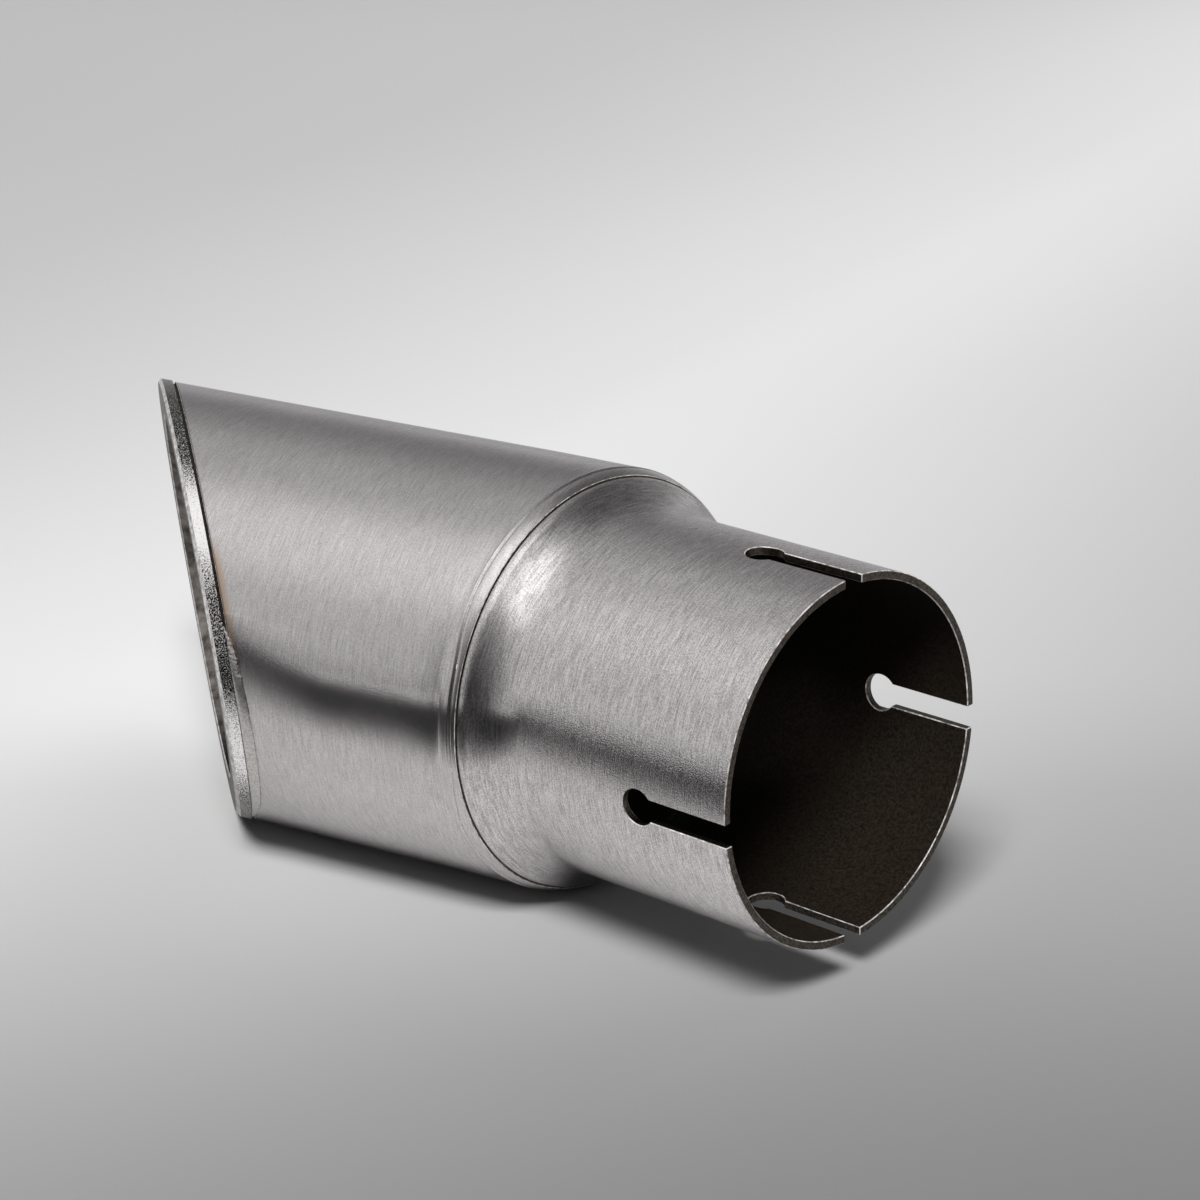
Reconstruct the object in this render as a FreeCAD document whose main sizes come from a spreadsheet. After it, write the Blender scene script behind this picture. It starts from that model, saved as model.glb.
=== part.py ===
import FreeCAD, Part
import os
import Sketcher
from FreeCAD import Vector

# Slash-cut exhaust tip, in millimetres. The barrel lies level on the floor with its axis along X,
# the slash towards -X and the slotted inlet towards +X, bent to the front (-Y). The origin is the
# centre of the inlet's mouth, and +Z is up.
driving_sizes = {
    # barrel
    "barrelDiameter": 76.0,
    "barrelWall": 1.2,
    "tipLength": 83.7,          # along the barrel's axis, from the bend to the slash face
    "roundingLength": 9.0,      # stretch of barrel dressed from its own circle to the seam's circle
    "lipLength": 3.0,           # rolled-in edge at the seam
    "lipRadius": 5.0,
    # slash
    "slashAngle": 41.0,         # off square
    "slashTurn": 16.4,          # long side's turn about the barrel, out of the plane of the bend
    # end ring
    "ringThickness": 3.0,
    "ringWidth": 6.5,
    "ringProud": 0.2,
    "ringChamfer": 0.6,
    "ringGroove": 0.3,
    # inlet
    "inletDiameter": 64.4,
    "inletWall": 1.5,
    "inletLength": 45.5,        # straight sleeve, from the mouth to the bell
    "bellLength": 10.3,
    "bellStep": 0.3,            # bell's end below the edge of the barrel's lip that it butts against
    "inletReach": 60.7,         # from the mouth to where the two axes meet
    "bendAngle": 13.1,
    "bendTurn": 6.3,            # the bend's rise above the horizontal
    # clamp slots
    "slotWidth": 4.0,
    "slotDepth": 19.0,          # to the keyhole's centre
    "keyholeDiameter": 6.5,
    "slotTurn": 6.2,            # brings the first pair of slots upright
    "crossTurn": 91.5,          # second pair, counted from the first
    "crossOffset": -2.3,        # second pair's cut lies below the axis
    "cutMargin": 5.0,           # how far a cut runs past what it cuts
}

# Sizes that follow from the driving ones, as formulas of the sheet.
worked_out = {
    "barrelRadius": "=barrelDiameter / 2",
    "barrelBore": "=barrelRadius - barrelWall",
    "bendCos": "=cos(bendAngle * 1deg)",
    "bendSin": "=sin(bendAngle * 1deg)",
    "seamDistance": "=inletLength + bellLength",
    "seamPast": "=inletReach - seamDistance",           # seam, counted from the meeting of the axes
    "rimPast": "=seamPast - lipLength",
    "roundingStart": "=rimPast * bendCos - barrelRadius * bendSin - roundingLength",
    "lipRise": "=lipRadius - sqrt(lipRadius ^ 2 - lipLength ^ 2)",
    "slashSlope": "=tan(slashAngle * 1deg)",
    "ringRadius": "=barrelRadius + ringProud",
    "ringOpening": "=barrelRadius - ringWidth",
    "ringAxial": "=ringThickness / cos(slashAngle * 1deg)",
    "ringSpan": "=ringRadius * slashSlope + cutMargin",
    "inletRadius": "=inletDiameter / 2",
    "inletBore": "=inletRadius - inletWall",
    "bellRadius": "=barrelRadius - lipRise - bellStep",
    "bellRise": "=bellRadius - inletRadius",
    "bellArc": "=(bellLength ^ 2 + bellRise ^ 2) / (4 * bellRise)",
    "bellInner": "=inletLength + bellLength / 2 * (1 + inletWall / bellArc)",
    "keyholeRadius": "=keyholeDiameter / 2",
    "keyholeNeck": "=slotDepth - sqrt(keyholeRadius ^ 2 - (slotWidth / 2) ^ 2)",
}

doc = FreeCAD.newDocument("exhaust_tip")
sheet = doc.addObject("Spreadsheet::Sheet", "Sizes")
rows = list(driving_sizes.items()) + list(worked_out.items())
for row, (alias, content) in enumerate(rows, start=1):
    sheet.set(f"A{row}", alias)
    sheet.set(f"B{row}", str(content))
    sheet.setAlias(f"B{row}", alias)
doc.recompute()


def size_of(formula):
    return float(sheet.evalExpression(formula.replace("Sizes.", "")))


def new_body(label, placement):
    body = doc.addObject("PartDesign::Body", label)
    body.Label = label
    body.setExpression("Placement", placement)
    return body


# A sketch on one of the body's own origin planes, moved by an optional placement formula.
def new_sketch(body, name, plane, offset=None):
    sketch = body.newObject("Sketcher::SketchObject", name)
    support = next(item for item in body.Origin.OriginFeatures if item.Role == plane)
    sketch.AttachmentSupport = [(support, "")]
    sketch.MapMode = "FlatFace"
    if offset:
        sketch.setExpression("AttachmentOffset", offset)
    return sketch


# Holds one point of a sketch at the given formulas; None leaves that direction free.
def pin(sketch, geometry, point, across, up):
    for kind, formula in (("DistanceX", across), ("DistanceY", up)):
        if formula is not None:
            constraint = Sketcher.Constraint(kind, -1, 1, geometry, point, size_of(formula))
            number = sketch.addConstraint(constraint)
            sketch.setExpression(f"Constraints[{number}]", formula)


def add_circle(sketch, radius):
    number = sketch.addGeometry(Part.Circle(Vector(), Vector(0, 0, 1), size_of(radius)), False)
    sketch.addConstraint(Sketcher.Constraint("Coincident", number, 3, -1, 1))
    held = sketch.addConstraint(Sketcher.Constraint("Radius", number, size_of(radius)))
    sketch.setExpression(f"Constraints[{held}]", radius)


# A closed outline. Each step is (across, up) for a straight edge that ends there, or
# (across, up, centre across, centre up, turn) for an arc, whose turn is +1 counter-clockwise.
# An arc's end is held across only, as its radius comes from where it starts.
def add_outline(sketch, steps):
    numbers, ends = [], []
    start = Vector(size_of(steps[-1][0]), size_of(steps[-1][1]), 0)
    for step in steps:
        end = Vector(size_of(step[0]), size_of(step[1]), 0)
        if len(step) == 2:
            number = sketch.addGeometry(Part.LineSegment(start, end), False)
            ends.append((1, 2))
        else:
            centre = Vector(size_of(step[2]), size_of(step[3]), 0)
            first, last = (start, end) if step[4] > 0 else (end, start)
            circle = Part.Circle(centre, Vector(0, 0, 1), (start - centre).Length)
            arc = Part.ArcOfCircle(circle, circle.parameter(first), circle.parameter(last))
            number = sketch.addGeometry(arc, False)
            ends.append((1, 2) if step[4] > 0 else (2, 1))
        numbers.append(number)
        start = end
    for index, step in enumerate(steps):
        before = index - 1
        sketch.addConstraint(Sketcher.Constraint(
            "Coincident", numbers[before], ends[before][1], numbers[index], ends[index][0]))
        if len(step) == 2:
            pin(sketch, numbers[index], ends[index][1], step[0], step[1])
        else:
            pin(sketch, numbers[index], 3, step[2], step[3])
            pin(sketch, numbers[index], ends[index][1], step[0], None)


def add_feature(body, kind, name, sketch, **settings):
    feature = body.newObject(f"PartDesign::{kind}", name)
    feature.Profile = sketch
    for key, value in settings.items():
        setattr(feature, key, value)
    sketch.Visibility = False
    body.Tip = feature
    return feature


def along_barrel(distance):
    return f"placement(vector(0; 0; {distance}); rotation(vector(0; 0; 1); 0))"


# The circle plane of the seam and the rim, square to the inlet's axis and not to the barrel's.
def along_inlet(distance):
    return (f"placement(vector(-{distance} * Sizes.bendSin; 0; {distance} * Sizes.bendCos); "
            "rotation(vector(0; -1; 0); Sizes.bendAngle))")


def turned_about_axis(turn):
    return f"placement(vector(0; 0; 0); rotation(vector(1; 0; 0); {turn}))"


axes_meeting = ("vector(-Sizes.inletReach * Sizes.bendCos; "
                "Sizes.inletReach * Sizes.bendSin * cos(Sizes.bendTurn * 1deg); "
                "-Sizes.inletReach * Sizes.bendSin * sin(Sizes.bendTurn * 1deg))")
barrel_frame = f"placement({axes_meeting}; rotation(vector(1; 0; 0); -Sizes.bendTurn))"
inlet_frame = ("placement(vector(0; 0; 0); rotation(vector(1; 0; 0); -Sizes.bendTurn) "
               "* rotation(vector(0; 0; 1); -Sizes.bendAngle))")

# Everything beyond the plane that lies `back` behind the slash face, as an outline.
reach = "(Sizes.ringSpan + Sizes.cutMargin)"


def beyond_slash(back, side):
    far = f"Sizes.ringSpan * 4 * {side}"
    high = f"-(Sizes.tipLength - {back}) - Sizes.slashSlope * {reach}"
    low = f"-(Sizes.tipLength - {back}) + Sizes.slashSlope * {reach}"
    return [(high, reach), (low, f"-{reach}"), (f"{low} + {far}", f"-{reach}"), (f"{high} + {far}", reach)]


# Barrel: its frame's origin is where the two axes meet, with the bend in its XY plane.
barrel = new_body("barrel", barrel_frame)
start_plane = along_barrel("Sizes.roundingStart")
rim_plane = along_inlet("Sizes.rimPast")

round_sketch = new_sketch(barrel, "BarrelCircle", "YZ_Plane", start_plane)
add_circle(round_sketch, "Sizes.barrelRadius")
round_part = add_feature(barrel, "Pad", "BarrelRound", round_sketch, Reversed=True)
round_part.setExpression("Length", "Sizes.tipLength + Sizes.ringSpan")

outer_start = new_sketch(barrel, "DressedStart", "YZ_Plane", start_plane)
add_circle(outer_start, "Sizes.barrelRadius")
outer_rim = new_sketch(barrel, "DressedRim", "YZ_Plane", rim_plane)
add_circle(outer_rim, "Sizes.barrelRadius")
dressed = add_feature(barrel, "AdditiveLoft", "Dressed", outer_start, Sections=[outer_rim], Ruled=True)

inner_start = new_sketch(barrel, "DressedBoreStart", "YZ_Plane", start_plane)
add_circle(inner_start, "Sizes.barrelBore")
inner_rim = new_sketch(barrel, "DressedBoreRim", "YZ_Plane", rim_plane)
add_circle(inner_rim, "Sizes.barrelBore")
dressed_bore = add_feature(
    barrel, "SubtractiveLoft", "DressedBore", inner_start, Sections=[inner_rim], Ruled=True)

bore_sketch = new_sketch(barrel, "BoreCircle", "YZ_Plane", start_plane)
add_circle(bore_sketch, "Sizes.barrelBore")
bore = add_feature(barrel, "Pocket", "Bore", bore_sketch, Type=1)

lip_sketch = new_sketch(
    barrel, "LipSection", "XY_Plane",
    "placement(vector(0; 0; 0); rotation(vector(0; 0; 1); -Sizes.bendAngle))")
lip_centre = ("Sizes.rimPast", "Sizes.barrelRadius - Sizes.lipRadius")
lip_inner = ("Sizes.barrelRadius - Sizes.lipRadius "
             "+ sqrt((Sizes.lipRadius - Sizes.barrelWall) ^ 2 - Sizes.lipLength ^ 2)")
add_outline(lip_sketch, [
    ("Sizes.rimPast", "Sizes.barrelBore"),
    ("Sizes.seamPast", lip_inner),
    ("Sizes.seamPast", "Sizes.barrelRadius - Sizes.lipRise"),
    ("Sizes.rimPast", "Sizes.barrelRadius", *lip_centre, 1),
])
lip = add_feature(
    barrel, "Revolution", "Lip", lip_sketch, ReferenceAxis=(lip_sketch, ["H_Axis"]), Angle=360)

slash_sketch = new_sketch(barrel, "SlashOutline", "XY_Plane", turned_about_axis("Sizes.slashTurn"))
add_outline(slash_sketch, beyond_slash("Sizes.ringAxial", -1))
slash = add_feature(barrel, "Pocket", "Slash", slash_sketch, Type=1, Midplane=True)

# End ring, in the same frame: a band between two planes of the slash.
end_ring = new_body("end_ring", barrel_frame)
band_sketch = new_sketch(
    end_ring, "BandCircles", "YZ_Plane", along_barrel("-(Sizes.tipLength - Sizes.ringSpan)"))
add_circle(band_sketch, "Sizes.ringRadius")
add_circle(band_sketch, "Sizes.ringOpening")
band = add_feature(end_ring, "Pad", "Band", band_sketch, Reversed=True)
band.setExpression("Length", "2 * Sizes.ringSpan")
for name, back, side in (("Front", "0", -1), ("Back", "Sizes.ringAxial", 1)):
    face_sketch = new_sketch(end_ring, name + "Outline", "XY_Plane", turned_about_axis("Sizes.slashTurn"))
    add_outline(face_sketch, beyond_slash(back, side))
    ring_cut = add_feature(end_ring, "Pocket", name + "Cut", face_sketch, Type=1, Midplane=True)
doc.recompute()


# The outer edge of the ring whose centre lies this far behind the slash face.
def outer_edge(feature, behind):
    named = [(f"Edge{number}", edge) for number, edge in enumerate(feature.Shape.Edges, start=1)]
    middle = -size_of("tipLength") + behind
    near = [(edge.Length, name) for name, edge in named if abs(edge.CenterOfMass.x - middle) < 0.5
            and edge.Length > 3.1 * size_of("ringRadius")]
    return max(near)[1]


bevels = (("FrontChamfer", 0.0, "ringChamfer"), ("SeamGroove", size_of("ringAxial"), "ringGroove"))
for name, behind, width in bevels:
    trimmed = end_ring.Tip
    edge_name = outer_edge(trimmed, behind)
    chamfer = end_ring.newObject("PartDesign::Chamfer", name)
    chamfer.Base = (trimmed, [edge_name])
    chamfer.setExpression("Size", f"Sizes.{width}")
    end_ring.Tip = chamfer
    doc.recompute()

# Inlet: sleeve and bell are one piece, in a frame whose X is the inlet's axis, out of its mouth.
inlet = new_body("inlet_sleeve", inlet_frame)
inlet_sketch = new_sketch(inlet, "InletSection", "XY_Plane")
sleeve_centre = ("-Sizes.inletLength", "Sizes.inletRadius + Sizes.bellArc")
seam_centre = ("-Sizes.seamDistance", "Sizes.bellRadius - Sizes.bellArc")
inner_turn = ("Sizes.inletRadius + Sizes.bellArc "
              "- (Sizes.bellArc - Sizes.bellRise / 2) * (1 + Sizes.inletWall / Sizes.bellArc)")
add_outline(inlet_sketch, [
    ("0", "Sizes.inletBore"),
    ("0", "Sizes.inletRadius"),
    ("-Sizes.inletLength", "Sizes.inletRadius"),
    ("-Sizes.inletLength - Sizes.bellLength / 2", "Sizes.inletRadius + Sizes.bellRise / 2",
     *sleeve_centre, -1),
    ("-Sizes.seamDistance", "Sizes.bellRadius", *seam_centre, 1),
    ("-Sizes.seamDistance", "Sizes.bellRadius - Sizes.inletWall"),
    ("-Sizes.bellInner", inner_turn),
    ("-Sizes.inletLength", "Sizes.inletBore", *sleeve_centre, 1),
])
sleeve = add_feature(
    inlet, "Revolution", "Sleeve", inlet_sketch, ReferenceAxis=(inlet_sketch, ["H_Axis"]), Angle=360)

slot_half = "Sizes.slotWidth / 2"
slot_pairs = {
    "UprightSlots": ("Sizes.slotTurn", "0"),
    "LevelSlots": ("Sizes.slotTurn + Sizes.crossTurn", "Sizes.crossOffset"),
}
for name, (turn, shift) in slot_pairs.items():
    slot_sketch = new_sketch(inlet, name + "Outline", "XY_Plane", turned_about_axis(turn))
    add_outline(slot_sketch, [
        ("Sizes.cutMargin", f"{shift} + {slot_half}"),
        ("-Sizes.keyholeNeck", f"{shift} + {slot_half}"),
        ("-Sizes.keyholeNeck", f"{shift} - {slot_half}", "-Sizes.slotDepth", shift, 1),
        ("Sizes.cutMargin", f"{shift} - {slot_half}"),
    ])
    slots = add_feature(inlet, "Pocket", name, slot_sketch, Type=1, Midplane=True)
doc.recompute()

for item in doc.Objects:
    if any(word in item.State for word in ("Invalid", "Error")):
        raise SystemExit(f"{item.Name} did not compute: {item.State}")
os.makedirs("parts", exist_ok=True)
for body in (barrel, inlet, end_ring):
    if body.Shape.isNull() or not body.Shape.isValid() or len(body.Shape.Solids) != 1:
        raise SystemExit(f"{body.Label} is not one sound solid")
    body.Shape.exportStep(f"parts/{body.Label}.step")
    box = body.Shape.BoundBox
    spans = [f"{low:.1f} to {high:.1f}" for low, high in (
        (box.XMin, box.XMax), (box.YMin, box.YMax), (box.ZMin, box.ZMax))]
    print(f"{body.Label}: {body.Shape.Volume:.1f} mm3, {len(body.Shape.Faces)} faces, x y z {spans}")
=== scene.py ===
import math
import bmesh
import bpy
from mathutils import Matrix, Vector, noise


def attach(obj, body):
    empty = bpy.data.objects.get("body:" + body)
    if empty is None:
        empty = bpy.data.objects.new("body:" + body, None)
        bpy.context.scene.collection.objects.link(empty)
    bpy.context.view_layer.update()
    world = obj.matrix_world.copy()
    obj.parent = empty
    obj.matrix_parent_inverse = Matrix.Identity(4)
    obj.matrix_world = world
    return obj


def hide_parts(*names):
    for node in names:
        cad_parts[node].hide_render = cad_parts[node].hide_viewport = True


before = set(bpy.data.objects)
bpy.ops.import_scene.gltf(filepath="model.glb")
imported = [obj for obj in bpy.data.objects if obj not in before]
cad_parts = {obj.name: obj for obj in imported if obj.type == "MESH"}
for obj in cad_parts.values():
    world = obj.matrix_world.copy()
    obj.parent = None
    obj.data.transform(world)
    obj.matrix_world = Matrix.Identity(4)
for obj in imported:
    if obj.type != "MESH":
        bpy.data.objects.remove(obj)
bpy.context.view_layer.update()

mm = 0.001
print("frame loaded")

# Where the pieces lie, in mm and degrees: the barrel's axis is level along X, and the inlet's axis
# leaves it at the bend
layout = {
    "inletReach": 60.7,     # mouth to where the two axes meet
    "bendAngle": 13.1,
    "bendTurn": 6.3,        # the bend's rise above the horizontal
    "slashAngle": 41.0,
    "slashTurn": 16.4,
    "tipLength": 83.7,      # bend to slash face, along the barrel
    "ringReach": 3.975,     # slash face to the end ring's back, along the barrel
    "floorHeight": -39.75,
}

bend = math.radians(layout["bendAngle"])
slash = math.radians(layout["slashAngle"])
turn = Matrix.Rotation(-math.radians(layout["bendTurn"]), 4, "X")
inletFrame = turn @ Matrix.Rotation(-bend, 4, "Z")
barrelFrame = Matrix.Translation(inletFrame @ Vector((-layout["inletReach"], 0, 0))) @ turn
seamFrame = barrelFrame @ Matrix.Rotation(-bend, 4, "Z")    # X along the inlet's axis
slashFrame = barrelFrame @ Matrix.Rotation(math.radians(layout["slashTurn"]), 4, "X")
slashFront = slashFrame @ Matrix.Translation((-layout["tipLength"], 0, 0))
lean = Matrix.Identity(4)
lean[0][1] = -math.tan(slash)       # slides a ring along the barrel as the slash does

# Each piece's materials, by what its faces are, and how its edges are told apart
finish = {"outside": 0, "inside": 1, "cut": 2, "burr": 3}
edgeLimits = {
    "hardAngle": 28,        # degrees; an edge that turns by more stays sharp
    "cutTurn": 0.35,        # how far a cut wall's normal may lean out of square to the radius
    "merge": 0.1,           # mm; nearer points are one before a rim is broken
    "sliver": 0.005,        # mm; what is thinner after it goes
    "slashTolerance": 1e-4,
}


def toLinear(hexColour):
    channels = [int(hexColour[i:i + 2], 16) / 255 for i in (1, 3, 5)]
    return tuple(c / 12.92 if c <= 0.04045 else ((c + 0.055) / 1.055) ** 2.4 for c in channels) + (1.0,)


# adds a node with its settings, socket values, links and colour stops (a hex colour or a level of light)
def addNode(tree, kind, settings=None, inputs=None, links=None, stops=()):
    node = tree.nodes.new(kind)
    for key, value in (settings or {}).items():
        setattr(node, key, value)
    for key, value in (inputs or {}).items():
        node.inputs[key].default_value = value
    for key, source in (links or {}).items():
        tree.links.new(source, node.inputs[key])
    for count, (position, shade) in enumerate(stops):
        elements = node.color_ramp.elements
        element = elements[count] if count < 2 else elements.new(position)
        element.position = position
        element.color = toLinear(shade) if isinstance(shade, str) else (shade, shade, shade, 1.0)
    return node


# the matrix that puts a unit circle square across a frame's X, in mm
def ringAt(place, along, radius, shear=None):
    spread = Matrix.Diagonal((1.0, radius, radius, 1.0))
    faceAlong = Matrix.Rotation(math.pi / 2, 4, "Y")
    return place @ Matrix.Translation((along, 0, 0)) @ (shear or Matrix.Identity(4)) @ spread @ faceAlong


# grows a tube through a list of ring matrices; finishes says what each stretch is
def growTube(bm, rings, segments, finishes=None):
    start = bmesh.ops.create_circle(bm, cap_ends=False, radius=1.0, segments=segments)
    bmesh.ops.transform(bm, matrix=rings[0], verts=start["verts"])
    rim = list({edge for vert in start["verts"] for edge in vert.link_edges})
    for step, (before, after) in enumerate(zip(rings, rings[1:])):
        grown = bmesh.ops.extrude_edge_only(bm, edges=rim)["geom"]
        verts = {item for item in grown if isinstance(item, bmesh.types.BMVert)}
        rim = [item for item in grown if isinstance(item, bmesh.types.BMEdge) and set(item.verts) <= verts]
        bmesh.ops.transform(bm, matrix=after @ before.inverted(), verts=list(verts))
        for edge in rim if finishes else ():
            edge.link_faces[0].material_index = finishes[step]


def openEdges(bm):
    return [edge for edge in bm.edges if len(edge.link_faces) == 1]


def markHardEdges(bm, hardAngle):
    for face in bm.faces:
        face.smooth = True
    for edge in bm.edges:
        edge.smooth = len(edge.link_faces) == 2 and edge.calc_face_angle(0) < math.radians(hardAngle)


# turns the bmesh (in mm) into an object at the origin, smooth apart from its hard edges
def finishPiece(bm, name, hardAngle=edgeLimits["hardAngle"]):
    bmesh.ops.recalc_face_normals(bm, faces=bm.faces[:])
    bmesh.ops.transform(bm, matrix=Matrix.Scale(mm, 4), verts=bm.verts[:])
    markHardEdges(bm, hardAngle)
    mesh = bpy.data.meshes.new(name)
    bm.to_mesh(mesh)
    bm.free()
    piece = bpy.data.objects.new(name, mesh)
    bpy.context.scene.collection.objects.link(piece)
    return piece


# tells a tube's inside and its cut walls apart from its outside, by where the faces look
def sortFaces(piece, place):
    inverse = (Matrix.Scale(mm, 4) @ place).inverted()
    for face in piece.data.polygons:
        centre = inverse @ face.center
        normal = (inverse.to_3x3() @ face.normal).normalized()
        facing = normal.dot(Vector((0, centre.y, centre.z)).normalized())
        if facing < -edgeLimits["cutTurn"]:
            face.material_index = finish["inside"]
        elif facing < edgeLimits["cutTurn"]:
            face.material_index = finish["cut"]


# breaks the rims of a finished piece that turn by more than rimAngle, which leaves them bright
def breakRims(piece, size, rimAngle):
    bm = bmesh.new()
    bm.from_mesh(piece.data)
    bmesh.ops.remove_doubles(bm, verts=bm.verts[:], dist=edgeLimits["merge"] * mm)
    rims = [edge for edge in bm.edges if edge.calc_face_angle(0) > math.radians(rimAngle)]
    broken = bmesh.ops.bevel(bm, geom=rims, offset=size * mm, offset_type="OFFSET", affect="EDGES",
                             segments=1, profile=0.5, material=-1, clamp_overlap=False)
    for face in broken["faces"]:
        face.material_index = finish["burr"]
    bmesh.ops.dissolve_degenerate(bm, dist=edgeLimits["sliver"] * mm, edges=bm.edges[:])
    markHardEdges(bm, edgeLimits["hardAngle"])
    bm.to_mesh(piece.data)
    bm.free()


# a peak of height 1 at 0 that falls to nothing at 1 on both sides
def peak(t):
    return max(0.0, 1 - abs(t))


def smoothStep(t):
    t = min(1.0, max(0.0, t))
    return t * t * (3 - 2 * t)


# Barrel: a tube eased over to the bend, with a rolled lip at the seam, cut by the slash. A rolling mark
# runs round the lip and sinks to the seam at the front.
barrel = {
    "radius": 38.0,
    "wall": 1.2,
    "straightRings": (-60, -30),
    "overrun": 6,           # how far the tube passes the slash before it is cut
    "roundingStart": -15.8,
    "roundingSteps": 10,
    "rimPast": 1.9,         # rim and seam, counted from where the axes meet
    "seamPast": 4.9,
    "lipRadius": 5.0,
    "lipSteps": 30,
    "innerLipSteps": 6,
    "markPast": 2.75,
    "markSink": 1.3,
    "markSinkAngle": 36,    # degrees from the front, and over how many it sinks
    "markSinkSpan": 25,
    "markWidth": 0.32,
    "markDepth": 0.2,
    "markRidge": 0.06,
    "markRidgeAhead": 1.4,  # in widths of the mark
    "markFrom": 0.5,        # before the rim, and how far below the barrel's radius it can lie
    "markBelow": 1.15,
    "burr": 0.07,
    "burrAngle": 45,
    "segments": 320,
}


# rings that ease the barrel's own circle over to the rim's
def easedRings(radius):
    startRing = Vector((barrel["roundingStart"], 0, 0))
    rimCentre = Matrix.Rotation(-bend, 4, "Z") @ Vector((barrel["rimPast"], 0, 0))
    rings = []
    for step in range(barrel["roundingSteps"] + 1):
        t = step / barrel["roundingSteps"]
        centre = startRing.lerp(rimCentre, t)
        centre.y = rimCentre.y * smoothStep(t)
        place = barrelFrame @ Matrix.Translation(centre) @ Matrix.Rotation(-bend * t, 4, "Z")
        rings.append(ringAt(place, 0, radius))
    return rings


# rings along the lip, from the rim to the seam
def lipRings(size, steps):
    span = barrel["seamPast"] - barrel["rimPast"]
    centre = barrel["radius"] - barrel["lipRadius"]
    reaches = [span * step / steps for step in range(steps + 1)]
    return [ringAt(seamFrame, barrel["rimPast"] + x, centre + math.sqrt(size ** 2 - x ** 2))
            for x in reaches]


# presses the rolling mark into the lip's outside, with a slight ridge before it
def pressMark(bm):
    inverse = seamFrame.inverted()
    for vert in bm.verts:
        own = inverse @ vert.co
        radius = math.hypot(own.y, own.z)
        beforeRim = own.x < barrel["rimPast"] - barrel["markFrom"]
        if beforeRim or radius < barrel["radius"] - barrel["markBelow"]:
            continue
        fromFront = abs(math.degrees(math.atan2(own.z, -own.y)))
        sunk = smoothStep((barrel["markSinkAngle"] - fromFront) / barrel["markSinkSpan"])
        mark = barrel["markPast"] + barrel["markSink"] * sunk
        fromMark = (own.x - mark) / barrel["markWidth"]
        ridge = barrel["markRidge"] * peak(fromMark + barrel["markRidgeAhead"])
        stretch = 1 + (ridge - barrel["markDepth"] * peak(fromMark)) / radius
        vert.co = seamFrame @ Vector((own.x, own.y * stretch, own.z * stretch))


def buildBarrel():
    inner = barrel["radius"] - barrel["wall"]
    far = -layout["tipLength"] - barrel["radius"] * math.tan(slash) - barrel["overrun"]
    straight = (far,) + barrel["straightRings"]
    rings = [ringAt(barrelFrame, x, barrel["radius"]) for x in straight]
    rings += easedRings(barrel["radius"])
    rings += lipRings(barrel["lipRadius"], barrel["lipSteps"])[1:]
    rings += lipRings(barrel["lipRadius"] - barrel["wall"], barrel["innerLipSteps"])[:0:-1]
    rings += easedRings(inner)[::-1]
    rings += [ringAt(barrelFrame, x, inner) for x in straight[::-1]]
    bm = bmesh.new()
    growTube(bm, rings, barrel["segments"])
    pressMark(bm)
    backOfRing = slashFront @ Vector((layout["ringReach"], 0, 0))
    outOfSlash = slashFrame.to_3x3() @ Vector((-1, -math.tan(slash), 0))
    bmesh.ops.bisect_plane(bm, geom=bm.verts[:] + bm.edges[:] + bm.faces[:], plane_co=backOfRing,
                           plane_no=outOfSlash, clear_outer=True, dist=edgeLimits["slashTolerance"])
    bmesh.ops.bridge_loops(bm, edges=openEdges(bm))
    piece = finishPiece(bm, "slashedBarrel")
    sortFaces(piece, barrelFrame)
    breakRims(piece, barrel["burr"], barrel["burrAngle"])
    return piece


slashedBarrel = buildBarrel()
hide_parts("barrel")
print("barrel made")

# Inlet: bell and sleeve as one spun tube, then four keyhole slots sawn into the sleeve
inlet = {
    "radius": 32.19,
    "wall": 1.5,
    "length": 45.5,
    "sleeveRings": (0, -4, -12, -24, -36),
    "bellLength": 10.3,
    "bellRadius": 36.7,
    "bellSteps": 60,
    "shoulderSize": 2.3,    # the tight outward curve next to the seam
    "crevice": 0.07,        # the bell dips under the lip's edge
    "creviceLength": 0.25,
    "slotWidth": 4.0,
    "slotDepth": 19.0,
    "keyholeRadius": 3.25,
    "keyholeSteps": 40,
    "slotTurns": (6.2, 97.7),
    "slotShifts": (0.0, -2.3),
    "cutterBelow": 60,      # how far a slot's cutter passes the tube on both sides, and its mouth
    "cutterPast": 6,
    "burr": 0.15,
    "burrAngle": 50,
    "segments": 320,
}


# the bell's outside, counted from the sleeve's end: a wide hollow arc, then a tight shoulder up to the seam
def bellRadiusAt(x):
    rise = inlet["bellRadius"] - inlet["radius"]
    bothArcs = (inlet["bellLength"] ** 2 + rise ** 2) / (2 * rise)
    shoulder = inlet["shoulderSize"]
    hollow = bothArcs - shoulder
    fromSeam = inlet["bellLength"] - x
    if x < hollow * inlet["bellLength"] / bothArcs:
        return inlet["radius"] + hollow - math.sqrt(hollow ** 2 - x ** 2)
    crevice = inlet["crevice"] * max(0.0, 1 - fromSeam / inlet["creviceLength"]) ** 2
    return inlet["bellRadius"] - shoulder + math.sqrt(shoulder ** 2 - fromSeam ** 2) - crevice


def buildInlet():
    bellSteps = [inlet["bellLength"] * step / inlet["bellSteps"] for step in range(inlet["bellSteps"] + 1)]
    outside = [(x, inlet["radius"]) for x in inlet["sleeveRings"]]
    outside += [(-inlet["length"] - x, bellRadiusAt(x)) for x in bellSteps]
    inside = [(x, radius - inlet["wall"]) for x, radius in outside[::-1]]
    bm = bmesh.new()
    growTube(bm, [ringAt(inletFrame, x, radius) for x, radius in outside + inside], inlet["segments"])
    bmesh.ops.bridge_loops(bm, edges=openEdges(bm))
    return finishPiece(bm, "slottedInlet")


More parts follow.
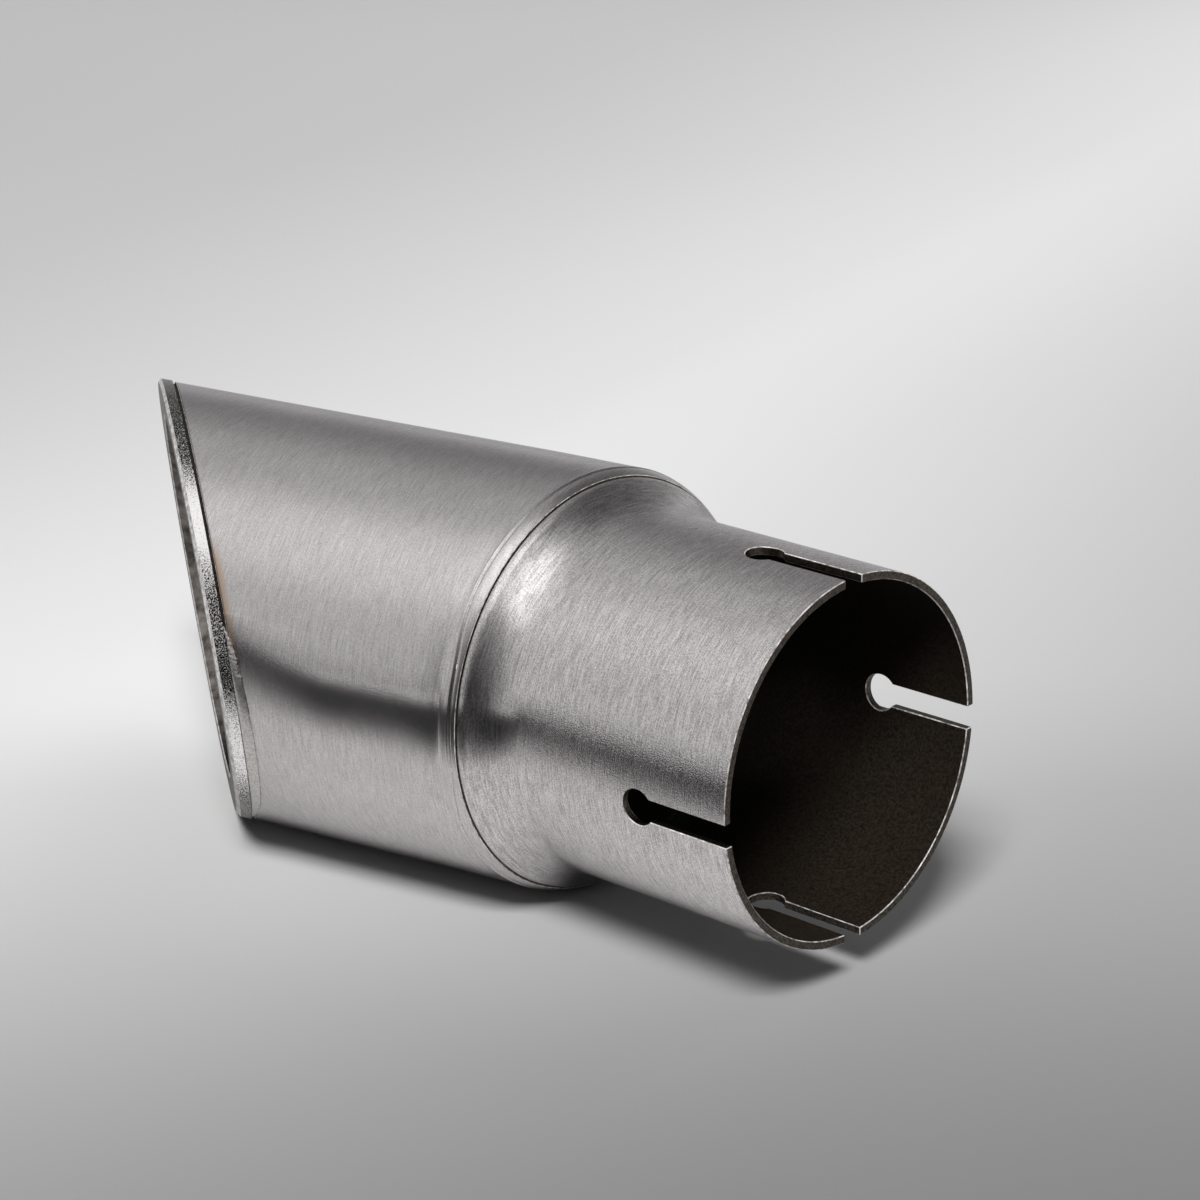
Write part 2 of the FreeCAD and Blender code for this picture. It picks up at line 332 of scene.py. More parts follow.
# a keyhole outline drawn flat under the tube and pulled through both walls
def keyholeCutter(turnDegrees, shift):
    half, deep, hole = inlet["slotWidth"] / 2, inlet["slotDepth"], inlet["keyholeRadius"]
    neck = math.sqrt(hole ** 2 - half ** 2)
    below = -inlet["cutterBelow"]
    bm = bmesh.new()
    first = bm.verts.new((-deep + neck, half, below))
    swing = 2 * math.pi - 2 * math.asin(half / hole)
    bmesh.ops.spin(bm, geom=[first], cent=(-deep, 0, below), axis=(0, 0, 1), angle=swing,
                   steps=inlet["keyholeSteps"])
    ends = [vert for vert in bm.verts if len(vert.link_edges) == 1]
    mouth = [bm.verts.new((inlet["cutterPast"], vert.co.y, below)) for vert in ends]
    for vert, corner in zip(ends, mouth):
        bm.edges.new((vert, corner))
    bm.edges.new(mouth)
    face = bmesh.ops.contextual_create(bm, geom=bm.edges[:])["faces"]
    pulled = bmesh.ops.extrude_face_region(bm, geom=face)["geom"]
    upper = [item for item in pulled if isinstance(item, bmesh.types.BMVert)]
    bmesh.ops.translate(bm, vec=(0, 0, 2 * inlet["cutterBelow"]), verts=upper)
    across = Matrix.Rotation(math.radians(turnDegrees), 4, "X") @ Matrix.Translation((0, shift, 0))
    bmesh.ops.transform(bm, matrix=inletFrame @ across, verts=bm.verts[:])
    return finishPiece(bm, "keyholeCutter")


def cutSlots(piece):
    for turnDegrees, shift in zip(inlet["slotTurns"], inlet["slotShifts"]):
        cutter = keyholeCutter(turnDegrees, shift)
        cut = piece.modifiers.new("slots", "BOOLEAN")
        cut.operation, cut.solver, cut.object = "DIFFERENCE", "EXACT", cutter
        bpy.context.view_layer.update()
        depsgraph = bpy.context.evaluated_depsgraph_get()
        mesh = bpy.data.meshes.new_from_object(piece.evaluated_get(depsgraph))
        piece.modifiers.clear()
        piece.data = mesh
        bpy.data.objects.remove(cutter)
    sortFaces(piece, inletFrame)
    breakRims(piece, inlet["burr"], inlet["burrAngle"])


slottedInlet = buildInlet()
cutSlots(slottedInlet)
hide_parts("inlet_sleeve")
print("inlet made")

# End ring: every ring of it leans with the slash; a dark groove is left between it and the barrel, its
# walls painted dark as shade
ring = {
    "radius": 38.19,
    "opening": 31.5,
    "chamfer": 0.75,
    "bandEnd": 3.25,        # where the sanded band stops and the groove starts
    "grooveDepth": 0.6,
    "grooveSlant": 0.12,
    "brokenEdge": 0.3,
    "hardAngle": 20,
    "segments": 320,
}


def buildRing():
    radius, opening, back = ring["radius"], ring["opening"], layout["ringReach"]
    grooveRadius = radius - ring["grooveDepth"]
    profile = [
        (0, opening + ring["brokenEdge"]), (0, radius - ring["chamfer"]), (ring["chamfer"], radius),
        (ring["bandEnd"], radius), (ring["bandEnd"] + ring["grooveSlant"], grooveRadius),
        (back, grooveRadius), (back, opening), (ring["brokenEdge"], opening),
    ]
    # the groove's slant and floor ("cut") take the painted groove shade
    stretches = ("inside", "burr", "outside", "cut", "cut", "inside", "inside")
    bm = bmesh.new()
    growTube(bm, [ringAt(slashFront, x, r, lean) for x, r in profile], ring["segments"],
             [finish[stretch] for stretch in stretches])
    for face in bmesh.ops.bridge_loops(bm, edges=openEdges(bm))["faces"]:
        face.material_index = finish["burr"]
    return finishPiece(bm, "weldedRing", ring["hardAngle"])


weldedRing = buildRing()
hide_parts("end_ring")
print("end ring made")

# Weld: a lens-shaped bead that fills the groove low on the near side, ground down, rough at its top end
weld = {
    "middle": 187.0,        # degrees round the slash
    "halfSpan": 35.0,
    "start": 3.28,          # mm back from the ring's face
    "width": 2.6,
    "proud": 0.19,
    "sunk": 0.5,            # how deep its foot lies in the barrel
    "clearance": 0.005,     # it stays this far under the ring's radius
    # across the bead: how far over its width, and how high it stands
    "profile": ((0.0, 0.0), (0.06, 0.9), (0.35, 1.0), (0.75, 0.9), (0.97, 0.45), (1.0, 0.0)),
    "endShare": 0.004,      # keeps the lens's two points open
    "roughUntil": 168.0,    # degrees, as above
    "roughEase": 8,
    "roughness": 0.16,
    "gritAlong": 2.2,       # how often the grit changes, for each mm and each degree
    "gritRound": 1.5,
    "backFrom": 0.5,        # mm; past this it wanders as a bead does
    "wander": 0.12,
    "wanderRound": 0.35,
    "wanderPick": (4.0, 7.0),
    "hardAngle": 40,
    "steps": 300,
}


# draws the bead in to a lens, lets its back edge wander and roughens its top end
def shapeBead(bm):
    for vert in bm.verts:
        x, radius = vert.co.x, math.hypot(vert.co.y, vert.co.z)
        angle = math.degrees(math.atan2(vert.co.z, vert.co.y)) % 360
        lens = math.sqrt(max(weld["endShare"], 1 - ((angle - weld["middle"]) / weld["halfSpan"]) ** 2))
        rough = smoothStep((weld["roughUntil"] - angle) / weld["roughEase"])
        pattern = noise.noise(Vector((x * weld["gritAlong"], angle * weld["gritRound"], radius)))
        grit = pattern * weld["roughness"] * rough
        pickX, pickZ = weld["wanderPick"]
        wander = noise.noise(Vector((pickX, angle * weld["wanderRound"], pickZ))) * weld["wander"]
        if radius > barrel["radius"]:
            newRadius = min(ring["radius"] - weld["clearance"], radius + grit)
        else:
            newRadius = radius
        stretch = newRadius / radius
        along = weld["start"] + x * lens + (wander + grit) * (x > weld["backFrom"])
        vert.co = (along, vert.co.y * stretch, vert.co.z * stretch)


def buildWeld():
    high = barrel["radius"]
    foot = -weld["sunk"]
    first = math.radians(weld["middle"] - weld["halfSpan"])
    top = [(x, weld["proud"] * y) for x, y in weld["profile"]]
    corners = [(0.0, foot)] + top + [(1.0, foot)]
    bm = bmesh.new()
    verts = [bm.verts.new((x * weld["width"], (high + y) * math.cos(first), (high + y) * math.sin(first)))
             for x, y in corners]
    for vert, following in zip(verts, verts[1:] + verts[:1]):
        bm.edges.new((vert, following))
    bmesh.ops.spin(bm, geom=bm.verts[:] + bm.edges[:], cent=(0, 0, 0), axis=(1, 0, 0),
                   angle=math.radians(2 * weld["halfSpan"]), steps=weld["steps"])
    shapeBead(bm)
    bmesh.ops.holes_fill(bm, edges=openEdges(bm))
    bmesh.ops.transform(bm, matrix=slashFront @ lean, verts=bm.verts[:])
    return finishPiece(bm, "groundWeld", weld["hardAngle"])


groundWeld = buildWeld()
print("weld made")

for piece in (slashedBarrel, slottedInlet, weldedRing, groundWeld):
    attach(piece, "root")

# settings that many nodes share, and how strongly every relief shows
smooth = {"interpolation_type": "SMOOTHSTEP"}
product = {"operation": "MULTIPLY"}
colours = {"data_type": "RGBA"}
reliefStrength = 0.6


def newMaterial(name):
    material = bpy.data.materials.new(name)
    material.use_nodes = True
    tree = material.node_tree
    tree.nodes.clear()
    shader = addNode(tree, "ShaderNodeBsdfPrincipled")
    addNode(tree, "ShaderNodeOutputMaterial", links={"Surface": shader.outputs["BSDF"]})
    return material, tree, shader


# the surface's own coordinates from a frame whose X is an axis, counted in the given sizes in mm
def seenFrom(tree, place, sizes=(1.0, 1.0, 1.0)):
    where = addNode(tree, "ShaderNodeTexCoord")
    mapping = addNode(tree, "ShaderNodeMapping", {"vector_type": "TEXTURE"}, {
        "Location": place.to_translation() * mm, "Rotation": place.to_euler("XYZ"),
        "Scale": Vector(sizes) * mm}, {"Vector": where.outputs["Object"]})
    return mapping.outputs["Vector"]


# Satin stainless steel, brushed round the tube with a fine belt: light runs along the tube in long soft
# streaks with crisp edges across it, and fine lines run round it
brushed = {
    "dark": "#A4A0A0",
    "light": "#E1DDDD",
    "roughness": 0.23,
    "smoothest": -0.02,     # the clouds change the roughness by this much, down and up
    "roughest": 0.03,
    "clouds": 14.0,         # mm
    "cloudEnds": (0.3, 0.7),
    "anisotropy": 0.9,
    "lineWidth": 0.22,      # mm; real grit lines are near 0.05, drawn coarser so that they show
    "lineLength": 3.2,
    "grit": 0.25,
    "gritShare": 0.5,
    "spread": 0.24,         # of the pattern's values between the two shades
    "relief": 0.03,
}


# coarseness says how much stronger a piece's lines are than the barrel's
def brushedSteel(name, place, coarseness=1.0):
    material, tree, shader = newMaterial(name)
    width, length, grit, clouds = (brushed[key] for key in ("lineWidth", "lineLength", "grit", "clouds"))
    spread = brushed["spread"] / coarseness
    lines = addNode(tree, "ShaderNodeTexNoise", inputs={"Scale": 1.0, "Detail": 2.0},
                    links={"Vector": seenFrom(tree, place, (width, length, length))})
    specks = addNode(tree, "ShaderNodeTexNoise", inputs={"Scale": 1.0, "Detail": 1.0},
                     links={"Vector": seenFrom(tree, place, (grit, grit, grit))})
    rubbed = addNode(tree, "ShaderNodeMix", inputs={0: brushed["gritShare"]},
                     links={2: lines.outputs["Fac"], 3: specks.outputs["Fac"]})
    tone = addNode(tree, "ShaderNodeValToRGB", links={"Fac": rubbed.outputs[0]},
                   stops=((0.5 - spread, brushed["dark"]), (0.5 + spread, brushed["light"])))
    tree.links.new(tone.outputs["Color"], shader.inputs["Base Color"])
    cloud = addNode(tree, "ShaderNodeTexNoise", inputs={"Scale": 1.0, "Detail": 2.0},
                    links={"Vector": seenFrom(tree, place, (clouds, clouds, clouds))})
    cloudLow, cloudHigh = brushed["cloudEnds"]
    rough = addNode(tree, "ShaderNodeMapRange", inputs={
        "From Min": cloudLow, "From Max": cloudHigh,
        "To Min": brushed["roughness"] + brushed["smoothest"],
        "To Max": brushed["roughness"] + brushed["roughest"]}, links={"Value": cloud.outputs["Fac"]})
    tree.links.new(rough.outputs["Result"], shader.inputs["Roughness"])
    bump = addNode(tree, "ShaderNodeBump", links={"Height": rubbed.outputs[0]},
                   inputs={"Strength": reliefStrength, "Distance": brushed["relief"] * mm})
    tree.links.new(bump.outputs["Normal"], shader.inputs["Normal"])
    axis = place.to_3x3() @ Vector((1, 0, 0))
    along = addNode(tree, "ShaderNodeCombineXYZ", inputs={0: axis.x, 1: axis.y, 2: axis.z})
    tree.links.new(along.outputs["Vector"], shader.inputs["Tangent"])   # the light spreads along the tube
    shader.inputs["Metallic"].default_value = 1.0
    shader.inputs["Anisotropic"].default_value = brushed["anisotropy"]
    return material, tree, shader, tone.outputs["Color"]


# What lies over the barrel's steel, in mm from the groove: straw-brown heat tint along the weld, between
# heights where it starts, is full, and ends again; and painted shade right at the groove
barrelStains = {
    "tint": "#B69E8A",
    "tintReach": 1.9,
    "tintHeights": (11.0, 16.0, 26.0, 30.5),
    "paintedShade": "#2B2724",
    "paintedShadeFull": 0.1,
    "paintedShadeReach": 0.35,
    "paintedShadeShare": 0.7,
}


def barrelSteel():
    material, tree, shader, tone = brushedSteel("brushedStainlessBarrel", barrelFrame)
    groove = slashFront @ Matrix.Translation((layout["ringReach"], 0, 0)) @ Matrix.Rotation(slash, 4, "Z")
    where = addNode(tree, "ShaderNodeSeparateXYZ", links={0: seenFrom(tree, groove)})
    fromGroove, height = where.outputs["X"], where.outputs["Z"]
    low, lowFull, highFull, high = barrelStains["tintHeights"]
    near = addNode(tree, "ShaderNodeMapRange", smooth, {
        "From Min": 0.0, "From Max": barrelStains["tintReach"], "To Min": 1.0, "To Max": 0.0},
        {"Value": fromGroove})
    rising = addNode(tree, "ShaderNodeMapRange", smooth, {"From Min": low, "From Max": lowFull},
                     {"Value": height})
    falling = addNode(tree, "ShaderNodeMapRange", smooth, {
        "From Min": highFull, "From Max": high, "To Min": 1.0, "To Max": 0.0}, {"Value": height})
    band = addNode(tree, "ShaderNodeMath", product,
                   links={0: rising.outputs["Result"], 1: falling.outputs["Result"]})
    mask = addNode(tree, "ShaderNodeMath", product, links={0: band.outputs[0], 1: near.outputs["Result"]})
    tinted = addNode(tree, "ShaderNodeMix", colours, {7: toLinear(barrelStains["tint"])},
                     {0: mask.outputs[0], 6: tone})
    # painted shade: the barrel is darkened right at the groove, for the shadow deep in it
    shadeAtGroove = addNode(tree, "ShaderNodeMapRange", inputs={
        "From Min": barrelStains["paintedShadeFull"], "From Max": barrelStains["paintedShadeReach"],
        "To Min": barrelStains["paintedShadeShare"], "To Max": 0.0}, links={"Value": fromGroove})
    withPaintedShade = addNode(tree, "ShaderNodeMix", colours, {7: toLinear(barrelStains["paintedShade"])},
                     {0: shadeAtGroove.outputs["Result"], 6: tinted.outputs[2]})
    tree.links.new(withPaintedShade.outputs[2], shader.inputs["Base Color"])
    return material


# The inlet's lines are coarser than the barrel's, and deepest on the sleeve. Painted shade lies in the
# crevice under the barrel's lip, most of it low at the front, and thins out over the bell.
inletSurface = {
    "coarseness": 1.9,
    "sleeveRelief": 0.1,
    "reliefFrom": -4.0,     # mm past the bell's end
    "reliefFull": 8.0,
    "paintedShade": "#2A2623",
    "paintedShadeReach": 0.6,
    "paintedShadeLow": -14.0,      # the heights between which the painted shade is thick
    "paintedShadeHigh": 22.0,
    "paintedShadeElsewhere": 0.1,
}


def inletSteel():
    material, tree, shader, tone = brushedSteel("brushedStainlessInlet", inletFrame,
                                                inletSurface["coarseness"])
    where = addNode(tree, "ShaderNodeSeparateXYZ", links={0: seenFrom(tree, inletFrame)})
    bellEnd = -inlet["length"]
    seam = bellEnd - inlet["bellLength"]
    relief = addNode(tree, "ShaderNodeMapRange", smooth, {
        "From Min": bellEnd + inletSurface["reliefFrom"], "From Max": bellEnd + inletSurface["reliefFull"],
        "To Min": brushed["relief"] * mm, "To Max": inletSurface["sleeveRelief"] * mm},
        {"Value": where.outputs["X"]})
    bump = shader.inputs["Normal"].links[0].from_node
    tree.links.new(relief.outputs["Result"], bump.inputs["Distance"])
    # painted shade in the crevice under the lip, for the shadow there
    near = addNode(tree, "ShaderNodeMapRange", smooth, {
        "From Min": seam, "From Max": seam + inletSurface["paintedShadeReach"], "To Min": 1.0, "To Max": 0.0},
        {"Value": where.outputs["X"]})
    middle = (inletSurface["paintedShadeLow"] + inletSurface["paintedShadeHigh"]) / 2
    fromMiddle = addNode(tree, "ShaderNodeMath", {"operation": "SUBTRACT"}, {1: middle},
                         {0: where.outputs["Z"]})
    away = addNode(tree, "ShaderNodeMath", {"operation": "ABSOLUTE"}, links={0: fromMiddle.outputs[0]})
    thick = addNode(tree, "ShaderNodeMapRange", smooth, {
        "From Min": 0.0, "From Max": inletSurface["paintedShadeHigh"] - middle,
        "To Min": 1.0, "To Max": inletSurface["paintedShadeElsewhere"]}, {"Value": away.outputs[0]})
    paintedShade = addNode(tree, "ShaderNodeMath", product,
                    links={0: near.outputs["Result"], 1: thick.outputs["Result"]})
    withPaintedShade = addNode(tree, "ShaderNodeMix", colours, {7: toLinear(inletSurface["paintedShade"])},
                     {0: paintedShade.outputs[0], 6: tone})
    tree.links.new(withPaintedShade.outputs[2], shader.inputs["Base Color"])
    return material


# Steel that isn't brushed: its two shades, in patches of a given size and depth in mm, how rough it is,
# and how much of it is bare metal
plainSteels = {
    # the weld, ground off more finely
    "groundBead": {"dark": "#A8A5A2", "light": "#D6D3D0", "patch": 0.4, "depth": 0.03,
                   "roughness": 0.30, "metal": 1.0},
    # the ring's face and bore, left as burnt by the weld: grey and brown patches
    "burntRing": {"dark": "#4E4945", "light": "#8E8984", "patch": 2.2, "depth": 0.06,
                  "roughness": 0.36, "metal": 1.0},
    # sawn edges of the sheet: brownish, rough
    "sawnEdge": {"dark": "#3A342F", "light": "#6E665E", "patch": 0.5, "depth": 0.04,
                 "roughness": 0.45, "metal": 1.0},
    # the ring's chamfer, filed by hand: its many small scratches scatter the light
    "filedChamfer": {"dark": "#9A9794", "light": "#F0EEEC", "patch": 1.1, "depth": 0.02,
                     "roughness": 0.35, "metal": 0.5},
    # rims where the file took the burr off: clean and bright, scratched as well
    "filedRim": {"dark": "#6B6663", "light": "#E6E3E0", "patch": 1.2, "depth": 0.01,
                 "roughness": 0.35, "metal": 0.4},
    # the tube's inside, dulled by soot and dust and painted near black as shade for the deep inside
    "sootAndShadeInside": {"dark": "#0F0D0B", "light": "#241E18", "patch": 0.5, "depth": 0.02,
                     "roughness": 0.6, "metal": 0.0},
    # the groove's walls, painted near black as shade for the deep, narrow groove
    "paintedGrooveShade": {"dark": "#100E0D", "light": "#2A2623", "patch": 0.6, "depth": 0.02,
                   "roughness": 0.7, "metal": 0.0},
}
patchEnds = (0.34, 0.66)    # where the pattern is all dark and all light
darkMatteShine = 0.1


def plainSteel(name):
    look = plainSteels[name]
    material, tree, shader = newMaterial(name)
    patch = look["patch"]
    patches = addNode(tree, "ShaderNodeTexNoise", inputs={"Scale": 1.0, "Detail": 4.0, "Roughness": 0.6},
                      links={"Vector": seenFrom(tree, barrelFrame, (patch, patch, patch))})
    tone = addNode(tree, "ShaderNodeValToRGB", links={"Fac": patches.outputs["Fac"]},
                   stops=((patchEnds[0], look["dark"]), (patchEnds[1], look["light"])))
    tree.links.new(tone.outputs["Color"], shader.inputs["Base Color"])
    bump = addNode(tree, "ShaderNodeBump", links={"Height": patches.outputs["Fac"]},
                   inputs={"Strength": reliefStrength, "Distance": look["depth"] * mm})
    tree.links.new(bump.outputs["Normal"], shader.inputs["Normal"])
    shader.inputs["Metallic"].default_value = look["metal"]
    shader.inputs["Roughness"].default_value = look["roughness"]
    if not look["metal"]:
        shader.inputs["Specular IOR Level"].default_value = darkMatteShine
    return material


# The ring's outside, sanded flat with a coarse disc: it sparkles, and dark weld scale is left in its
# hollows.
# Its tone is also painted lighter and darker by height, as painted reflection and shade
sandedRing = {
    "scaleAndShade": "#14110F",
    "bareAndLit": "#FFFDFB",
    "shadeEnds": (0.56, 0.82),
    "speck": 0.24,
    "depth": 0.1,
    "roughness": 0.24,
    # height in mm, and how much painted light the band gets there (painted reflection and shade)
    "paintedLightAt": ((-38.2, 0.20), (-26.0, 0.25), (-17.0, 0.8), (-8.0, 0.7), (-1.0, 0.22), (12.0, 0.25),
               (17.0, 0.6), (20.0, 0.95), (26.0, 1.0), (29.5, 0.45), (31.5, 0.20), (38.2, 0.15)),
    "paintedLightWeight": 0.4,
}


def ringSteel():
    material, tree, shader = newMaterial("sandedRing")
    speck = sandedRing["speck"]
    hollows = addNode(tree, "ShaderNodeTexNoise", inputs={"Scale": 1.0, "Detail": 2.0},
                      links={"Vector": seenFrom(tree, barrelFrame, (speck, speck, speck))})
    where = addNode(tree, "ShaderNodeSeparateXYZ", links={0: seenFrom(tree, barrelFrame)})
    low, high = sandedRing["paintedLightAt"][0][0], sandedRing["paintedLightAt"][-1][0]
    height = addNode(tree, "ShaderNodeMapRange", inputs={"From Min": low, "From Max": high},
                     links={"Value": where.outputs["Z"]})
    # painted light and shade: the band is made lighter and darker by height
    paintedLightByHeight = addNode(tree, "ShaderNodeValToRGB", links={"Fac": height.outputs["Result"]},
                       stops=[((z - low) / (high - low), share) for z, share in sandedRing["paintedLightAt"]])
    lifted = addNode(tree, "ShaderNodeMath", {"operation": "MULTIPLY_ADD"}, {1: sandedRing["paintedLightWeight"]},
                     {0: paintedLightByHeight.outputs["Color"], 2: hollows.outputs["Fac"]})
    scaleAndShadeEnd, bareAndLitEnd = sandedRing["shadeEnds"]
    tone = addNode(tree, "ShaderNodeValToRGB", links={"Fac": lifted.outputs[0]},
                   stops=((scaleAndShadeEnd, sandedRing["scaleAndShade"]), (bareAndLitEnd, sandedRing["bareAndLit"])))
    tree.links.new(tone.outputs["Color"], shader.inputs["Base Color"])
    bump = addNode(tree, "ShaderNodeBump", links={"Height": hollows.outputs["Fac"]},
                   inputs={"Strength": reliefStrength, "Distance": sandedRing["depth"] * mm})
    tree.links.new(bump.outputs["Normal"], shader.inputs["Normal"])
    shader.inputs["Metallic"].default_value = 1.0
    shader.inputs["Roughness"].default_value = sandedRing["roughness"]
    return material


steels = {name: plainSteel(name) for name in plainSteels}
tubeEnds = [steels["sootAndShadeInside"], steels["sawnEdge"], steels["filedRim"]]
pieceSteels = (
    (slashedBarrel, [barrelSteel()] + tubeEnds),
    (slottedInlet, [inletSteel()] + tubeEnds),
    (weldedRing, [ringSteel(), steels["burntRing"], steels["paintedGrooveShade"], steels["filedChamfer"]]),
    (groundWeld, [steels["groundBead"]]),
)
for piece, materials in pieceSteels:
    for material in materials:
        piece.data.materials.append(material)
print("materials made")

# Studio: the camera, the floor card and what stands round the tip; distances in mm
studio = {
    "azimuth": 30.03,
    "elevation": 20.54,
    "eye": (238.7, -496.2, 234.1),
    "lens": 108.75,
    "sensor": 36.0,
    "clip": (0.02, 50),     # m
    "floorSize": 6000,
    "backdrop": 0.62,       # what the camera sees above the floor
}

azimuth, elevation = math.radians(studio["azimuth"]), math.radians(studio["elevation"])
camera = bpy.data.objects.new("camera", bpy.data.cameras.new("camera"))
camera.data.lens = studio["lens"]
camera.data.sensor_width = studio["sensor"]
camera.data.clip_start, camera.data.clip_end = studio["clip"]
aim = Matrix.Rotation(azimuth, 4, "Z") @ Matrix.Rotation(math.pi / 2 - elevation, 4, "X")
camera.matrix_world = Matrix.Translation(Vector(studio["eye"]) * mm) @ aim
bpy.context.scene.collection.objects.link(camera)
bpy.context.scene.camera = camera


def buildFloor():
    bm = bmesh.new()
    bmesh.ops.create_grid(bm, x_segments=1, y_segments=1, size=studio["floorSize"])
    bmesh.ops.translate(bm, vec=(0, 0, layout["floorHeight"]), verts=bm.verts[:])
    return finishPiece(bm, "floor")


floor = buildFloor()

# Matt grey card with painted light: palest along a line that crosses it behind the tip, and painted darker
# towards the viewer; distances in mm
card = {
    "roughness": 0.9,
    "shine": 0.1,
    "lineStart": (-117.1, 678.9),       # sideways and forward of the viewer's foot
    "lineTurn": 30.64,                  # degrees, from forward towards the left
    "across": ((0.0, 0.50), (0.3, 0.55), (0.44, 0.66), (0.56, 0.78), (0.60, 0.80), (0.66, 0.72),
               (0.74, 0.62), (0.84, 0.45), (1.0, 0.40)),
    "acrossFrom": -450.0,
    "acrossTo": 350.0,
    "near": ((0.015, 0.34), (0.069, 0.44), (0.12, 0.575), (0.18, 0.675), (0.206, 0.73), (0.24, 0.79),
             (0.42, 0.78), (0.54, 0.83), (0.69, 0.88), (0.79, 0.93), (0.90, 1.0)),
    "nearFrom": 450.0,
    "nearTo": 1450.0,
    # a black flag lies in front of the tip, and reaches farther on the right; only the steel shows it
    "flagNear": ((0.0, 0.25), (0.0125, 0.36), (0.02, 0.44), (0.03, 0.51), (0.04, 0.54), (0.085, 0.50),
                 (0.10, 0.33), (0.12, 0.15), (0.14, 0.06), (0.17, 0.02)),
    "flagLeft": ((0.36, 0.01), (0.44, 0.10), (0.52, 0.22), (0.62, 0.32), (0.80, 0.44), (1.0, 0.50)),
    "flagRight": ((0.50, 0.01), (1.0, 0.02)),
    "flagFar": 800.0,
    "leftFrom": -280.0,
    "rightFrom": -130.0,
    "behind": 0.45,         # the plain card behind the tip, as the steel shows it
    "behindFrom": 60.0,
    "behindFull": 250.0,
}


def floorCard():
    material, tree, shader = newMaterial("floorCard")
    foot = Matrix.Translation((studio["eye"][0], studio["eye"][1], 0)) @ Matrix.Rotation(azimuth, 4, "Z")
    alongLine = Matrix.Rotation(-math.radians(card["lineTurn"]), 4, "Z")
    line = foot @ Matrix.Translation(card["lineStart"] + (0,)) @ alongLine
    fromFoot = addNode(tree, "ShaderNodeSeparateXYZ", links={0: seenFrom(tree, foot)})
    fromLine = addNode(tree, "ShaderNodeSeparateXYZ", links={0: seenFrom(tree, line)})
    fromAxis = addNode(tree, "ShaderNodeSeparateXYZ", links={0: seenFrom(tree, Matrix.Identity(4))})

    # what the camera sees: painted light and shade
    acrossShare = addNode(tree, "ShaderNodeMapRange", links={"Value": fromLine.outputs["X"]},
                          inputs={"From Min": card["acrossFrom"], "From Max": card["acrossTo"]})
    across = addNode(tree, "ShaderNodeValToRGB", links={"Fac": acrossShare.outputs["Result"]},
                     stops=card["across"])
    nearShare = addNode(tree, "ShaderNodeMapRange", links={"Value": fromFoot.outputs["Y"]},
                        inputs={"From Min": card["nearFrom"], "From Max": card["nearTo"]})
    near = addNode(tree, "ShaderNodeValToRGB", links={"Fac": nearShare.outputs["Result"]},
                   stops=card["near"])
    across.color_ramp.interpolation = near.color_ramp.interpolation = "B_SPLINE"
    seen = addNode(tree, "ShaderNodeMix", {"data_type": "RGBA", "blend_type": "MULTIPLY"}, {0: 1.0},
                   {6: across.outputs["Color"], 7: near.outputs["Color"]})

    # what the steel mirrors
    flagShare = addNode(tree, "ShaderNodeMapRange", links={"Value": fromAxis.outputs["Y"]},
                        inputs={"From Min": 0.0, "From Max": -card["flagFar"]})
    flagLeft, flagRight = (
        addNode(tree, "ShaderNodeValToRGB", links={"Fac": flagShare.outputs["Result"]},
                stops=card["flagNear"] + card[side]) for side in ("flagLeft", "flagRight"))
    rightShare = addNode(tree, "ShaderNodeMapRange", smooth, {
        "From Min": card["leftFrom"], "From Max": card["rightFrom"]}, {"Value": fromAxis.outputs["X"]})
    flag = addNode(tree, "ShaderNodeMix", colours, links={
        0: rightShare.outputs["Result"], 6: flagLeft.outputs["Color"], 7: flagRight.outputs["Color"]})
    behindShare = addNode(tree, "ShaderNodeMapRange", smooth, {
        "From Min": card["behindFrom"], "From Max": card["behindFull"]}, {"Value": fromAxis.outputs["Y"]})
    mirrored = addNode(tree, "ShaderNodeMix", colours, {7: (card["behind"],) * 3 + (1.0,)},
                       {0: behindShare.outputs["Result"], 6: flag.outputs[2]})

    ray = addNode(tree, "ShaderNodeLightPath")
    shown = addNode(tree, "ShaderNodeMix", colours, links={
        0: ray.outputs["Is Glossy Ray"], 6: seen.outputs[2], 7: mirrored.outputs[2]})
    tree.links.new(shown.outputs[2], shader.inputs["Base Color"])
    shader.inputs["Roughness"].default_value = card["roughness"]
    shader.inputs["Specular IOR Level"].default_value = card["shine"]
    return material


floor.data.materials.append(floorCard())

